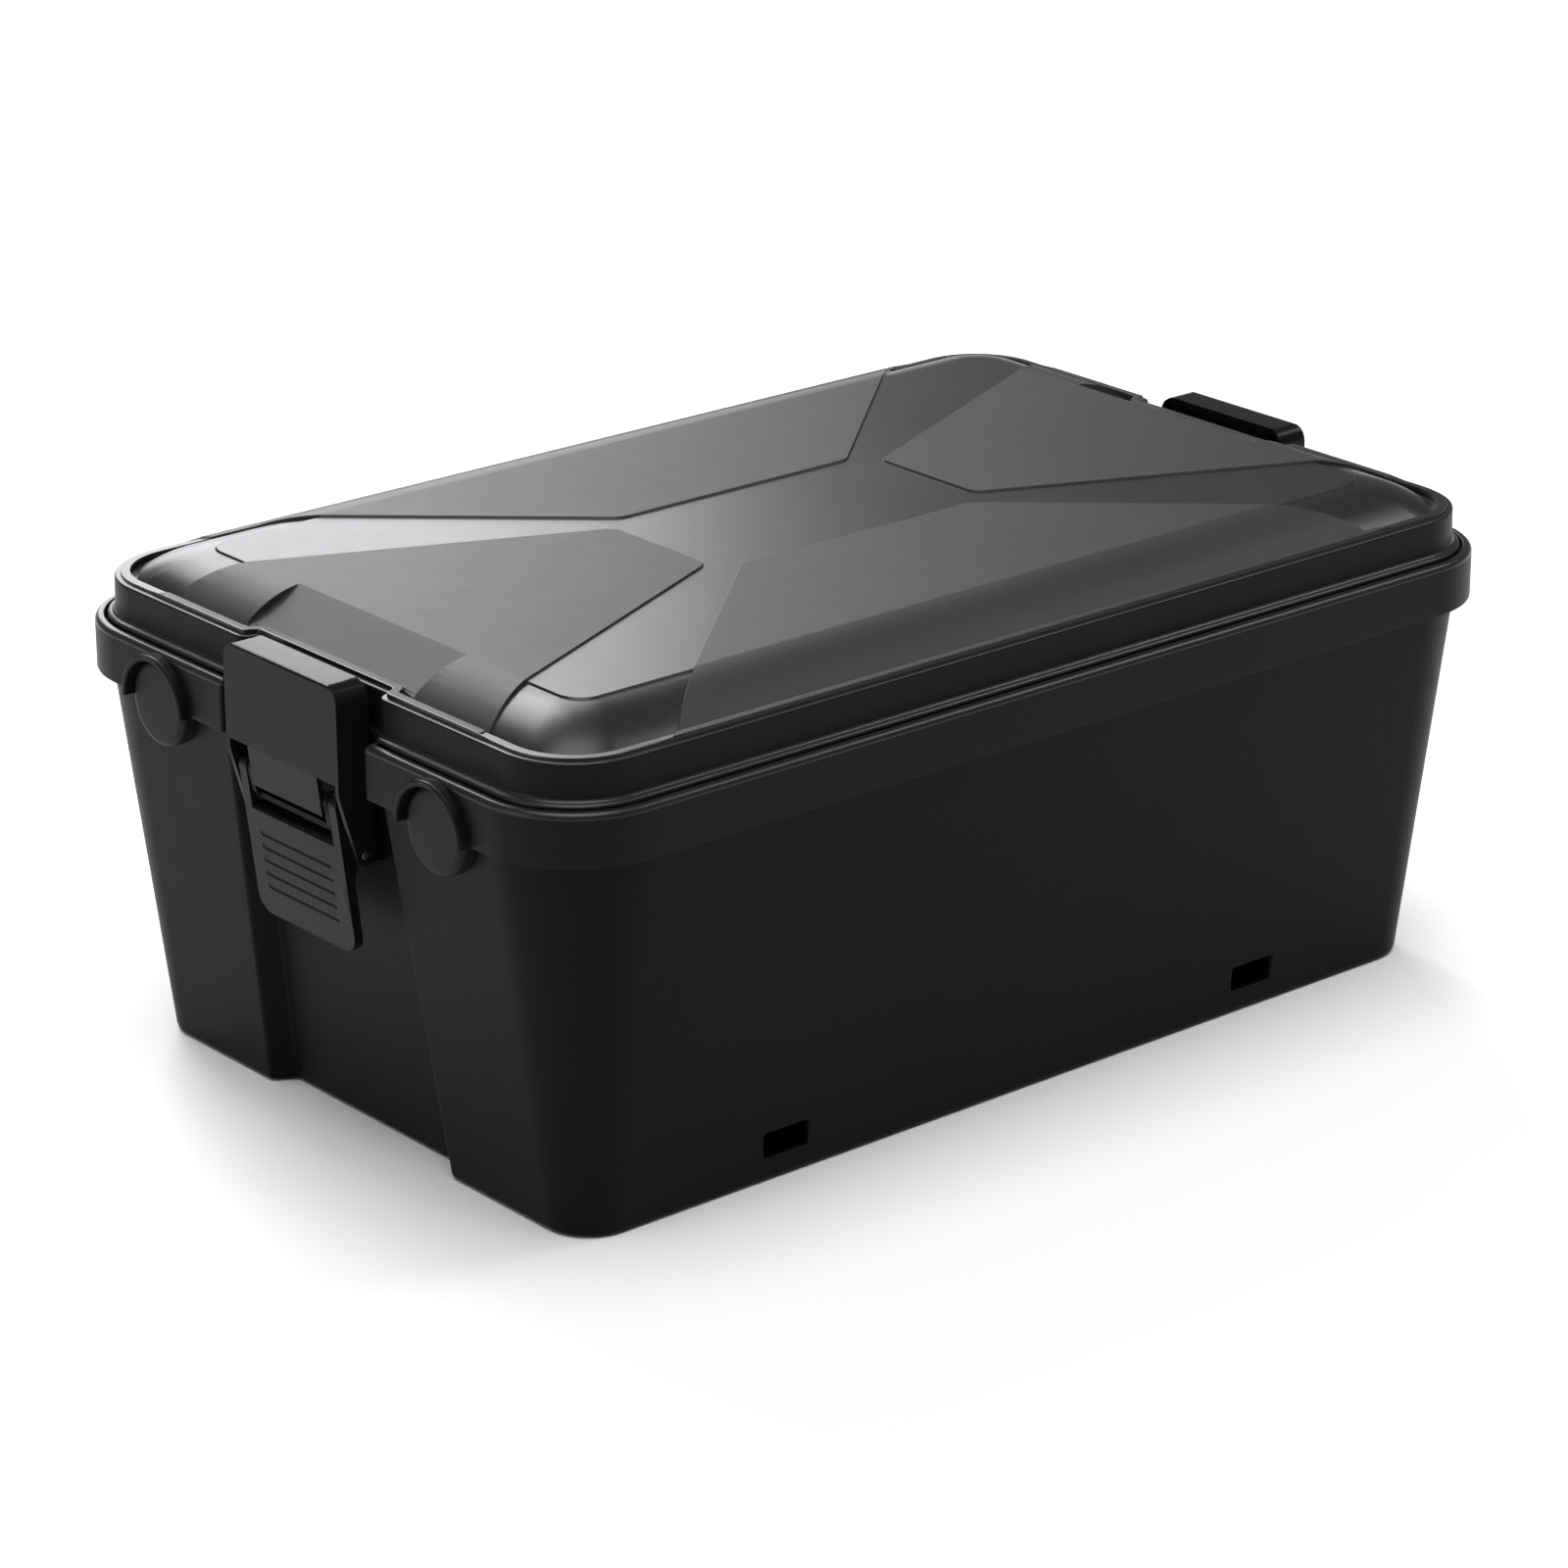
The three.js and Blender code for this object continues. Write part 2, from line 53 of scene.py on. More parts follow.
# latch: the lever's pivot and the hook's link as (x, z), pins and their holes, half widths
PIVOT = (-299.0, 181.0)
LINK = (-291.5, 157.0)
PIN_R, BORE_R = 2.6, 2.72
HOOK_HALF, LEVER_HALF, CHEEK_IN = 43.8, 37.7, 32.0
BRACKET_HALF = 31.6
SCREW_YS, SCREW_ZS = (-18, 18), (160, 199)
# lid: insets from the rim's outline, half widths of the latch notch, raised panels and end pockets
LIP_INSET = 13.2
LIP_IN, LIP_OUT = 4.5, 0.7
NOTCH_HALF, FOOT_NOTCH_HALF = 52.5, 61.5
CREASE = 53.0
POCKET = 64.5


# ---------- colours and materials ----------
def srgb(hex_colour):
    """An sRGB hex colour as the linear RGBA a shader socket takes."""
    out = []
    for i in (0, 2, 4):
        c = int(hex_colour[i:i + 2], 16) / 255
        out.append(c / 12.92 if c <= 0.04045 else ((c + 0.055) / 1.055) ** 2.4)
    return (*out, 1.0)


def node(tree, kind, **inputs):
    n = tree.nodes.new(kind)
    for key, value in inputs.items():
        n.inputs[key.replace("_", " ")].default_value = value
    return n


def plastic(name, dark, light, rough, specular, grain, grain_mm):
    """Moulded polymer: mottled black pigment, a moulded grain in the bump, uneven gloss."""
    m = bpy.data.materials.new(name)
    m.use_nodes = True
    t = m.node_tree
    b = t.nodes["Principled BSDF"]
    b.inputs["Specular IOR Level"].default_value = specular
    b.inputs["IOR"].default_value = 1.5
    link = t.links.new
    where = t.nodes.new("ShaderNodeTexCoord")
    # pigment and flow marks: broad, faint patches
    flow = node(t, "ShaderNodeTexNoise", Scale=9.0, Detail=4.0, Roughness=0.6)
    link(where.outputs["Object"], flow.inputs["Vector"])
    tint = t.nodes.new("ShaderNodeValToRGB")
    tint.color_ramp.elements[0].position = 0.3
    tint.color_ramp.elements[1].position = 0.75
    tint.color_ramp.elements[0].color = srgb(dark)
    tint.color_ramp.elements[1].color = srgb(light)
    link(flow.outputs["Fac"], tint.inputs["Fac"])
    link(tint.outputs["Color"], b.inputs["Base Color"])
    # gloss varies with the flow marks and with faint rubbed streaks
    streak = node(t, "ShaderNodeTexNoise", Scale=60.0, Detail=5.0, Roughness=0.7)
    link(where.outputs["Object"], streak.inputs["Vector"])
    mixed = node(t, "ShaderNodeMath")
    mixed.operation = "ADD"
    link(flow.outputs["Fac"], mixed.inputs[0])
    link(streak.outputs["Fac"], mixed.inputs[1])
    gloss = node(t, "ShaderNodeMapRange")
    gloss.inputs["From Min"].default_value = 0.7
    gloss.inputs["From Max"].default_value = 1.3
    gloss.inputs["To Min"].default_value = rough - 0.02
    gloss.inputs["To Max"].default_value = rough + 0.02
    link(mixed.outputs[0], gloss.inputs["Value"])
    link(gloss.outputs["Result"], b.inputs["Roughness"])
    # moulded grain: rounded cells over a finer noise
    cells = node(t, "ShaderNodeTexVoronoi", Scale=1000.0 / grain_mm)
    cells.feature = "SMOOTH_F1"
    link(where.outputs["Object"], cells.inputs["Vector"])
    fine = node(t, "ShaderNodeTexNoise", Scale=1600.0 / grain_mm, Detail=3.0)
    link(where.outputs["Object"], fine.inputs["Vector"])
    both = node(t, "ShaderNodeMath")
    both.operation = "ADD"
    link(cells.outputs["Distance"], both.inputs[0])
    link(fine.outputs["Fac"], both.inputs[1])
    bump = node(t, "ShaderNodeBump", Strength=grain, Distance=0.00012)
    link(both.outputs[0], bump.inputs["Height"])
    link(bump.outputs["Normal"], b.inputs["Normal"])
    return m


def metal(name, colour, rough, brush):
    """Plated steel: fine turning marks round the part, slightly uneven plating."""
    m = bpy.data.materials.new(name)
    m.use_nodes = True
    t = m.node_tree
    b = t.nodes["Principled BSDF"]
    b.inputs["Metallic"].default_value = 1.0
    link = t.links.new
    where = t.nodes.new("ShaderNodeTexCoord")
    stretch = t.nodes.new("ShaderNodeMapping")
    stretch.inputs["Scale"].default_value = (1.0, brush, 1.0)
    link(where.outputs["Object"], stretch.inputs["Vector"])
    marks = node(t, "ShaderNodeTexNoise", Scale=900.0, Detail=3.0)
    link(stretch.outputs["Vector"], marks.inputs["Vector"])
    plating = node(t, "ShaderNodeTexNoise", Scale=140.0, Detail=4.0)
    link(where.outputs["Object"], plating.inputs["Vector"])
    tint = t.nodes.new("ShaderNodeValToRGB")
    tint.color_ramp.elements[0].color = srgb(colour)
    light = [min(1.0, c * 1.5) for c in srgb(colour)[:3]]
    tint.color_ramp.elements[1].color = (*light, 1.0)
    link(plating.outputs["Fac"], tint.inputs["Fac"])
    link(tint.outputs["Color"], b.inputs["Base Color"])
    gloss = node(t, "ShaderNodeMapRange")
    gloss.inputs["To Min"].default_value = rough - 0.08
    gloss.inputs["To Max"].default_value = rough + 0.08
    link(marks.outputs["Fac"], gloss.inputs["Value"])
    link(gloss.outputs["Result"], b.inputs["Roughness"])
    bump = node(t, "ShaderNodeBump", Strength=0.25, Distance=0.00005)
    link(marks.outputs["Fac"], bump.inputs["Height"])
    link(bump.outputs["Normal"], b.inputs["Normal"])
    return m


# polypropylene copolymer, carbon-black filled, spark-eroded mould, a dull fine grain: rim and lid walls
TUB = plastic("polypropylene_spark_textured_tub", "0f0f10", "141416", 0.42, 0.09, 0.3, 0.9)
# the same polymer, coarser and deeper spark texture; its darker colour is painted shade under the rim's
# overhang: the tapering walls below the rim
WALL_PAINTED_SHADE = plastic("polypropylene_coarse_spark_walls_painted_shade", "0a0a0b", "0f0f10", 0.44, 0.07, 0.35, 1.1)
# the same polymer from a lightly etched mould, greyer and even: the raised panels of the lid
PANEL = plastic("polypropylene_etched_lid_panels", "1d1d1f", "242426", 0.5, 0.36, 0.3, 0.8)
# the same polymer from a polished mould, glossier and lighter: the lid's bands, corners and flanges, and the
# rim's top edge, where its lighter colour is a painted highlight
BAND = plastic("polypropylene_polished_lid_bands", "161618", "1b1b1d", 0.32, 0.36, 0.06, 1.4)
# glass-filled nylon, satin: hooks and levers
LATCH = plastic("glass_filled_nylon_latch", "101011", "151517", 0.25, 0.1, 0.12, 0.7)
# acetal copolymer, satin, near black; its dark colour is painted shade in the latch recess: the brackets
# behind the levers
BRACKET_PAINTED_SHADE = plastic("acetal_copolymer_bracket_painted_shade", "0a0a0b", "0e0e0f", 0.5, 0.08, 0.15, 0.7)
# low-density polyethylene, soft satin: the blanking plugs
PLUG = plastic("polyethylene_blanking_plug", "151516", "1b1b1d", 0.48, 0.12, 0.2, 0.8)
# zinc-plated mild steel, turned: the pins
PIN = metal("zinc_plated_steel_pin", "54565a", 0.42, 0.06)
# blackened steel, cold-headed: the screws
SCREW = metal("black_oxide_steel_screw", "2e2f31", 0.42, 1.0)


# ---------- mesh helpers ----------
def new_object(name, bm, materials):
    mesh = bpy.data.meshes.new(name)
    bm.to_mesh(mesh)
    bm.free()
    o = bpy.data.objects.new(name, mesh)
    bpy.context.scene.collection.objects.link(o)
    for m in materials:
        mesh.materials.append(m)
    return o


def tidy(bm, merge=0.00002):
    bmesh.ops.remove_doubles(bm, verts=bm.verts, dist=merge)
    bmesh.ops.dissolve_degenerate(bm, edges=bm.edges, dist=merge)
    bmesh.ops.recalc_face_normals(bm, faces=bm.faces)


def weigh_normals(o):
    w = o.modifiers.new("weighted", "WEIGHTED_NORMAL")
    w.keep_sharp = True
    w.weight = 60


def smooth(o, angle):
    """Smooth shading that breaks at edges sharper than the angle."""
    for p in o.data.polygons:
        p.use_smooth = True
    bm = bmesh.new()
    bm.from_mesh(o.data)
    limit = math.radians(angle)
    for e in bm.edges:
        e.smooth = len(e.link_faces) == 2 and e.calc_face_angle(0.0) < limit
    bm.to_mesh(o.data)
    bm.free()
    weigh_normals(o)


def bake(o):
    """Replaces the object's mesh by what its modifiers make of it."""
    bpy.context.view_layer.update()
    seen = o.evaluated_get(bpy.context.evaluated_depsgraph_get())
    mesh = bpy.data.meshes.new_from_object(seen)
    old = o.data
    o.modifiers.clear()
    o.data = mesh
    bpy.data.meshes.remove(old)


def combine(o, others, operation="DIFFERENCE"):
    """Boolean of o with each of the others, which are used up."""
    for other in others:
        mod = o.modifiers.new("cut", "BOOLEAN")
        mod.operation = operation
        mod.solver = "EXACT"
        mod.object = other
    bake(o)
    for other in others:
        bpy.data.objects.remove(other)
    return o


def round_edges(o, width_mm, segments=2, angle=40.0):
    b = o.modifiers.new("rounding", "BEVEL")
    b.width = width_mm / 1000
    b.segments = segments
    b.limit_method = "ANGLE"
    b.angle_limit = math.radians(angle)
    b.use_clamp_overlap = True
    b.miter_outer = "MITER_ARC"
    bake(o)


def corner_path(corners):
    """Open path through [x, y, radius, steps] corners, each rounded in a fixed number of points."""
    out = [tuple(corners[0][:2])]
    for i in range(1, len(corners) - 1):
        x, y, r, steps = corners[i]
        p = Vector((x, y))
        a = Vector(corners[i - 1][:2]) - p
        b = Vector(corners[i + 1][:2]) - p
        la, lb = a.length, b.length
        a.normalize()
        b.normalize()
        half = math.acos(max(-1.0, min(1.0, a.dot(b)))) / 2
        r = max(r, 0.05)
        t = min(r / math.tan(half), la * 0.98, lb * 0.98)
        r = t * math.tan(half)
        c = p + (a + b).normalized() * (r / math.sin(half))
        s = p + a * t - c
        e = p + b * t - c
        turn = math.atan2(s.x * e.y - s.y * e.x, s.dot(e))
        for k in range(steps + 1):
            w = turn * k / steps
            out.append((c.x + s.x * math.cos(w) - s.y * math.sin(w),
                        c.y + s.x * math.sin(w) + s.y * math.cos(w)))
    out.append(tuple(corners[-1][:2]))
    return out


def spread(path, counts):
    """Adds points on the straight spans: counts is {index of the span's first point: extra points}."""
    out = []
    for i, p in enumerate(path):
        out.append(p)
        n = counts.get(i, 0)
        if n:
            q = path[i + 1]
            for k in range(1, n + 1):
                f = k / (n + 1)
                out.append((p[0] + (q[0] - p[0]) * f, p[1] + (q[1] - p[1]) * f))
    return out


def four_way(quarter):
    """Closed outline from the quarter that runs from (-x, 0) round to (0, y)."""
    half = quarter + [(-x, y) for x, y in reversed(quarter[:-1])]
    return half + [(x, -y) for x, y in reversed(half[1:-1])]


RECESS_STEPS, CORNER_STEPS = 5, 18


def notched(hx, hy, r, floor_x, floor_y, mouth_y, r_floor, r_mouth):
    """Rounded rectangle with a notch in the middle of each end."""
    n = RECESS_STEPS
    quarter = corner_path([
        (-floor_x, 0.0, 0, 0),
        (-floor_x, floor_y, r_floor, n),
        (-hx, mouth_y, r_mouth, n),
        (-hx, hy, r, CORNER_STEPS),
        (0.0, hy, 0, 0),
    ])
    first = 1 + (n + 1)
    second = first + (n + 1)
    third = second + CORNER_STEPS + 1
    return four_way(spread(quarter, {0: 3, first - 1: 1, second - 1: 6, third - 1: 14}))


def skin(bm, rows, close_first=True, close_last=True):
    """Quads between rows of vertices that each go once round, and a face over each end that is closed."""
    n = len(rows[0])
    for a, b in zip(rows, rows[1:]):
        for i in range(n):
            j = (i + 1) % n
            bm.faces.new((a[i], a[j], b[j], b[i]))
    if close_first:
        bm.faces.new(rows[0])
    if close_last:
        bm.faces.new(list(reversed(rows[-1])))


def solid(name, rows, materials=()):
    """Closed solid skinned over rows of points in millimetres."""
    bm = bmesh.new()
    skin(bm, [[bm.verts.new((x / 1000, y / 1000, z / 1000)) for x, y, z in row] for row in rows])
    tidy(bm)
    return new_object(name, bm, materials)


def loft(bm, rings, close_first=True, close_last=True):
    """Skins closed outlines [(points, z or list of z)] with quads."""
    rows = []
    for points, z in rings:
        heights = z if hasattr(z, "__len__") else [z] * len(points)
        rows.append([bm.verts.new((x / 1000, y / 1000, h / 1000)) for (x, y), h in zip(points, heights)])
    skin(bm, rows, close_first, close_last)


AXES = {
    "z": lambda u, v, w: (u, v, w),
    "x": lambda u, v, w: (w, u, v),
    "y": lambda u, v, w: (u, w, v),
}


def prism(name, axis, outline, low, high, materials=()):
    """Prism of an outline: 'z' takes (x, y), 'x' takes (y, z) and 'y' takes (x, z)."""
    bm = bmesh.new()
    turned = AXES[axis]
    skin(bm, [[bm.verts.new(Vector(turned(u, v, w)) / 1000) for u, v in outline] for w in (low, high)])
    tidy(bm, 0.000005)
    return new_object(name, bm, materials)


def slab(name, x0, x1, y0, y1, z0, z1, materials=()):
    return prism(name, "z", [(x0, y0), (x1, y0), (x1, y1), (x0, y1)], z0, z1, materials)


def disc(cu, cv, r, sides, start=0.0, end=360.0):
    """Points of a circle, or of an arc between two angles in degrees with both its ends."""
    full = abs(end - start) >= 360
    n = sides if full else sides + 1
    return [(cu + r * math.cos(math.radians(start + (end - start) * k / sides)),
             cv + r * math.sin(math.radians(start + (end - start) * k / sides))) for k in range(n)]


def closed_fillets(corners, steps=6):
    """Closed outline whose corners [u, v, radius] are rounded."""
    out = []
    n = len(corners)
    for i in range(n):
        u, v, r = corners[i]
        if not r:
            out.append((u, v))
            continue
        before = corners[(i - 1) % n]
        after = corners[(i + 1) % n]
        out += corner_path([(*before[:2], 0, 0), (u, v, r, steps), (*after[:2], 0, 0)])[1:-1]
    return out


def far_copy(o, name):
    """The same piece at the other end: turned half a turn about the vertical axis."""
    mesh = o.data.copy()
    mesh.transform(Matrix.Rotation(math.pi, 4, "Z"))
    twin = bpy.data.objects.new(name, mesh)
    bpy.context.scene.collection.objects.link(twin)
    for mod in o.modifiers:
        if mod.type == "WEIGHTED_NORMAL":
            weigh_normals(twin)
    return twin


def join(parts):
    """One object out of several, keeping the first one's name."""
    bm = bmesh.new()
    for p in parts:
        bm.from_mesh(p.data)
    keep = parts[0]
    materials = list(keep.data.materials)
    name = keep.name
    for p in parts:
        bpy.data.objects.remove(p)
    return new_object(name, bm, materials)


# ---------- tub ----------
def wall_x(z):
    return BASE_X + END_DRAFT * z


def floor_x(z):
    return wall_x(z) - RECESS_DEPTH


def wall_ring(z, t):
    """Outline of the tapering wall at height z, moved inward by t."""
    hy = BASE_Y + SIDE_DRAFT * z
    mouth = 72.0 - 11.5 * z / 190.0 + 0.549 * t
    return notched(wall_x(z) - t, hy - t, max(24.0 + 0.1368 * z - t, 4.0), floor_x(z) - t, mouth - 7.0, mouth,
                   max(2.5 + t, 1.0), max(3.0 - t, 0.4))


def rim_ring(z, t, floor_t=0.0, half=55.0):
    """Outline of the rim at height z, moved inward by t, with its latch notch."""
    h = half + (t if t > 0 else 0) * 0.6
    return notched(RIM_X - t, RIM_Y - t, max(RIM_R - t, 4.0), floor_x(min(z, 213.0)) - floor_t, h, h + 0.6,
                   1.2, max(1.8 - t, 0.4))


def finish_by_place(o, rules):
    """Gives each face the first surface finish whose rule accepts its centre and normal."""
    names = [m.name for m in o.data.materials]
    for material, _ in rules:
        if material.name not in names:
            o.data.materials.append(material)
            names.append(material.name)
    for face in o.data.polygons:
        for material, rule in rules:
            if rule(face.center, face.normal):
                face.material_index = names.index(material.name)
                break


def port_cutters(s, y):
    """A round seat down to the wall and a 30 mm hole through it."""
    rim = disc(y, PORT_Z, 21.6, 56)
    seat = [[(s * 320.0, u, v) for u, v in rim], [(s * (wall_x(v) + 0.05), u, v) for u, v in rim]]
    low, high = sorted((s * 270, s * 320))
    return [solid("port_cut", seat), prism("port_hole", "x", disc(y, PORT_Z, 15.0, 40), low, high)]


def strap_cutter(x, s):
    """A strap slot through the long wall, with its outer edge broken."""
    face = BASE_Y + SIDE_DRAFT * (STRAP_LOW + STRAP_HIGH) / 2
    rows = []
    for y, g in ((face - 8, 0.0), (face - 0.7, 0.0), (face, 0.7), (face + 6, 0.9)):
        corners = [(u * (STRAP_HALF + g), v, 1.2)
                   for u, v in ((-1, STRAP_LOW - g), (1, STRAP_LOW - g),
                                (1, STRAP_HIGH + g), (-1, STRAP_HIGH + g))]
        rows.append([(x + u, s * y, v) for u, v in closed_fillets(corners, 3)])
    return solid("slot_cut", rows)


def make_tub():
    # outside, from the rounded foot up the wall and round the hollow skirt of the rim
    rings = [(wall_ring(z, t), z) for t, z in ((3.0, 0.0), (1.4, 0.35), (0.45, 1.1), (0.0, 2.6))]
    for k in range(1, 11):
        z = 2.6 + (RIM_LOW - 2.6) * k / 10
        rings.append((wall_ring(z, 0.0), z))
    rings.append((wall_ring(205.4, 0.0), 205.4))
    for t, z in ((4.2, 206.0), (2.7, 205.6), (2.7, 190.5), (2.3, 190.0), (0.8, 190.0), (0.25, 190.2),
                 (0.0, 190.8), (0.0, 198.0), (0.0, 206.0), (0.0, 212.9)):
        rings.append((rim_ring(z, t), z))
    for k in range(1, 6):
        w = math.radians(18 * k)
        rings.append((rim_ring(212.9, 3.1 * (1 - math.cos(w))), 212.9 + 3.1 * math.sin(w)))
    # inside, over the rim's top edge and the ledge that carries the lid, down to the floor
    for t, z in ((4.0, 216.0), (4.45, 215.8), (4.6, 215.3), (4.6, 211.0), (8.8, 211.0), (9.0, 210.7)):
        rings.append((rim_ring(RIM_TOP, t, 3.2, 58.2 - t * 0.6), z))
    rings.append((rim_ring(196.0, 9.0, 3.0, 58.2 - 5.4), 196.0))
    for k in range(8, -1, -1):
        z = 6.5 + (RIM_LOW - 6.5) * k / 8
        rings.append((wall_ring(z, WALL_T), z))
    rings.append((wall_ring(4.4, 4.0), 4.4))
    rings.append((wall_ring(3.5, 6.0), 3.5))
    bm = bmesh.new()
    loft(bm, rings)
    tidy(bm)
    tub = new_object("tub_shell", bm, [TUB])
    cutters = [c for s in (-1, 1) for y in (-PORT_Y, PORT_Y) for c in port_cutters(s, y)]
    cutters += [strap_cutter(x, s) for x in (-STRAP_X, STRAP_X) for s in (-1, 1)]
    combine(tub, cutters)
    parts = [tub]
    for s in (-1, 1):
        parts += [make_hood(s, y) for y in (-PORT_Y, PORT_Y)]
        parts.append(make_pad(s))
    tub = join(parts)
    tub.name = "tub_moulding"
    # coarse walls below the skirt, darker as painted shade under the rim; the rim's top edge in the glossier,
    # lighter lid finish, its lighter colour a painted highlight
    finish_by_place(tub, [(WALL_PAINTED_SHADE, lambda c, n: c.z < 0.18995),
                          (BAND, lambda c, n: c.z > 0.2129 and n.z > 0.05)])
    smooth(tub, 32)
    return tub


def make_hood(s, y):
    """Half ring over a cable entry: a rounded bar swept along the arc."""
    section = closed_fillets([(21.5, 294.5, 0), (24.6, 294.5, 0), (24.6, 305.0, 1.3), (21.5, 305.0, 0.7)], 4)
    rows = []
    for k in range(33):
        a = math.radians(-1.5 + 183.0 * k / 32)
        rows.append([(s * u, y + r * math.cos(a), PORT_Z + r * math.sin(a)) for r, u in section])
    return solid("hood", rows, [TUB])


def make_pad(s):
    """Raised pad in the end recess that carries the latch."""
    outline = [(-286.0, 151.5), (-276.5, 150.0), (-282.0, 213.0), (-286.0, 213.0)]
    pad = prism("pad", "y", [(-s * x, z) for x, z in outline], -40.0, 40.0, [TUB])
    round_edges(pad, 0.8)
    return pad


def make_plug(y):
    """Domed blanking plug, turned about the axis of its hole, with its back shaped to the wall."""
    profile = [(9.0, 301.2), (17.4, 301.1), (18.6, 300.9), (19.9, 300.3), (20.7, 299.4), (21.0, 298.4)]
    turns = [2 * math.pi * k / 64 for k in range(64)]
    rows = [[(-x, y + r * math.cos(a), PORT_Z + r * math.sin(a)) for a in turns] for r, x in profile]
    edge = profile[-1][0]
    back = [(y + edge * math.cos(a), PORT_Z + edge * math.sin(a)) for a in turns]
    rows.append([(-(wall_x(v) + 0.3), u, v) for u, v in back])
    cap = solid("plug", rows, [PLUG])
    neck = prism("neck", "x", disc(y, PORT_Z, 14.7, 40), -295.5, -286.5, [PLUG])
    return join([cap, neck])


# ---------- lid ----------
def lid_corner(d):
    return RIM_R - d if d <= 21 else 29.0 - (d - 21.0) * 0.5


def lid_ring(d, half=NOTCH_HALF):
    """Outline of the lid, inset d from the rim, with its latch notches."""
    t = max(d - LIP_INSET, -3.0)
    hx, back, side = RIM_X - d, 280.0 - t, half + 0.55 * t
    return notched(hx, RIM_Y - d, max(lid_corner(min(d, 21)), 2), back, side, side + 0.35 * (hx - back),
                   max(4.0 + t, 0.8), max(3.5 - t, 0.5))


def plain_ring(hx, hy, r, n=14):
    """Rounded rectangle of half sizes hx and hy."""
    out = []
    for cx, cy, q in ((hx - r, hy - r, 0), (r - hx, hy - r, 1), (r - hx, r - hy, 2), (hx - r, r - hy, 3)):
        for k in range(n + 1):
            a = (q + k / n) * math.pi / 2
            out.append((cx + r * math.cos(a), cy + r * math.sin(a)))
    return out


def crown_profile(trough, top, steps=24):
    """(d, z) along the crown's flank: a circular arc, steep at its foot and level at the crease."""
    d0, d1 = 20.3, CREASE
    chord = math.hypot(d1 - d0, top - trough)
    tilt = math.atan2(top - trough, d1 - d0)
    half = math.radians(20)
    radius = chord / 2 / math.sin(half)
    ds, zs = [0.0], [trough]
    for i in range(steps + 1):
        a = half - 2 * half * i / steps
        along = chord / 2 - radius * math.sin(a)
        up = radius * (math.cos(a) - math.cos(half))
        ds.append(d0 + along * math.cos(tilt) - up * math.sin(tilt))
        zs.append(trough + along * math.sin(tilt) + up * math.cos(tilt))
    order = np.argsort(ds)
    return np.array(ds)[order], np.array(zs)[order]


def step_curve(v):
    """Smooth step from 0 to 1."""
    v = np.clip(v, 0.0, 1.0)
    return v * v * (3 - 2 * v)


def rect_distance(p, hx, hy, r):
    """Signed distance from each point to a rounded rectangle, negative inside."""
    q = np.abs(p) - np.stack([hx - r, hy - r], -1)
    outside = np.linalg.norm(np.maximum(q, 0), axis=-1)
    return outside + np.minimum(np.max(q, axis=-1), 0) - r


def inset_of(p):
    """Inset d of the crown outline that passes through each point."""
    low = np.full(len(p), 4.0)
    high = np.full(len(p), 70.0)
    for _ in range(34):
        mid = (low + high) / 2
        r = np.where(mid <= 21, RIM_R - mid, np.maximum(29.0 - (mid - 21.0) * 0.5, 4.0))
        inside = rect_distance(p, RIM_X - mid, RIM_Y - mid, r) <= 0
        low = np.where(inside, mid, low)
        high = np.where(inside, high, mid)
    return (low + high) / 2


def line_distance(p, path):
    """Distance from each point to a closed polyline."""
    a = np.array(path)
    b = np.roll(a, -1, axis=0)
    best = np.full(len(p), 1e9)
    for s, e in zip(a, b):
        v = e - s
        length = float(v @ v)
        if length < 1e-12:
            continue
        f = np.clip(((p - s) @ v) / length, 0, 1)
        best = np.minimum(best, np.hypot(*(p - s - f[:, None] * v).T))
    return best


def inside_polygon(p, path):
    """Whether each point lies inside a closed outline."""
    a = np.array(path)
    b = np.roll(a, -1, axis=0)
    inside = np.zeros(len(p), bool)
    for s, e in zip(a, b):
        hit = (s[1] > p[:, 1]) != (e[1] > p[:, 1])
        if not hit.any():
            continue
        x = s[0] + (p[:, 1] - s[1]) * (e[0] - s[0]) / (e[1] - s[1] + 1e-30)
        inside ^= hit & (p[:, 0] < x)
    return inside


def panel_outlines():
    """The four raised panels in plan; each runs out past the edge of the lid."""
    side = [(-72.0, -45.5, 12.0), (-231.5, -187.6, 0), (231.5, -187.6, 0), (72.0, -45.5, 12.0)]
    end = [(-84.5, 34.5, 9.0), (-293.0, 127.2, 0), (-293.0, -127.2, 0), (-84.5, -34.5, 9.0)]
    out = []
    for corners in (side, end):
        path = closed_fillets(corners, 10)
        out.append(path)
        out.append([(-x, -y) for x, y in path])
    return out


def offset_line(path, amount):
    """A convex outline moved outward by amount."""
    n = len(path)
    area = sum(path[i][0] * path[(i + 1) % n][1] - path[(i + 1) % n][0] * path[i][1] for i in range(n))
    sign = 1 if area > 0 else -1
    out = []
    for i in range(n):
        p, q, r = (Vector(path[(i + k) % n]) for k in (-1, 0, 1))
        a, b = (q - p).normalized(), (r - q).normalized()
        na, nb = Vector((a.y, -a.x)) * sign, Vector((b.y, -b.x)) * sign
        m = (na + nb).normalized()
        out.append(tuple(q + m * (amount / max(m.dot(na), 0.3))))
    return out


PANELS = panel_outlines()
LIP_LINE = lid_ring(LIP_INSET)
CROWN_LOW = crown_profile(233.8, 247.1)
CROWN_HIGH = crown_profile(234.8, 249.0)
RISER = 0.38


def raised_share(p):
    """How far each point belongs to a raised panel, from 0 to 1 across its riser."""
    share = np.zeros(len(p))
    for path in PANELS:
        sd = line_distance(p, path) * np.where(inside_polygon(p, path), -1, 1)
        share = np.maximum(share, step_curve((RISER - sd) / (2 * RISER)))
    return share


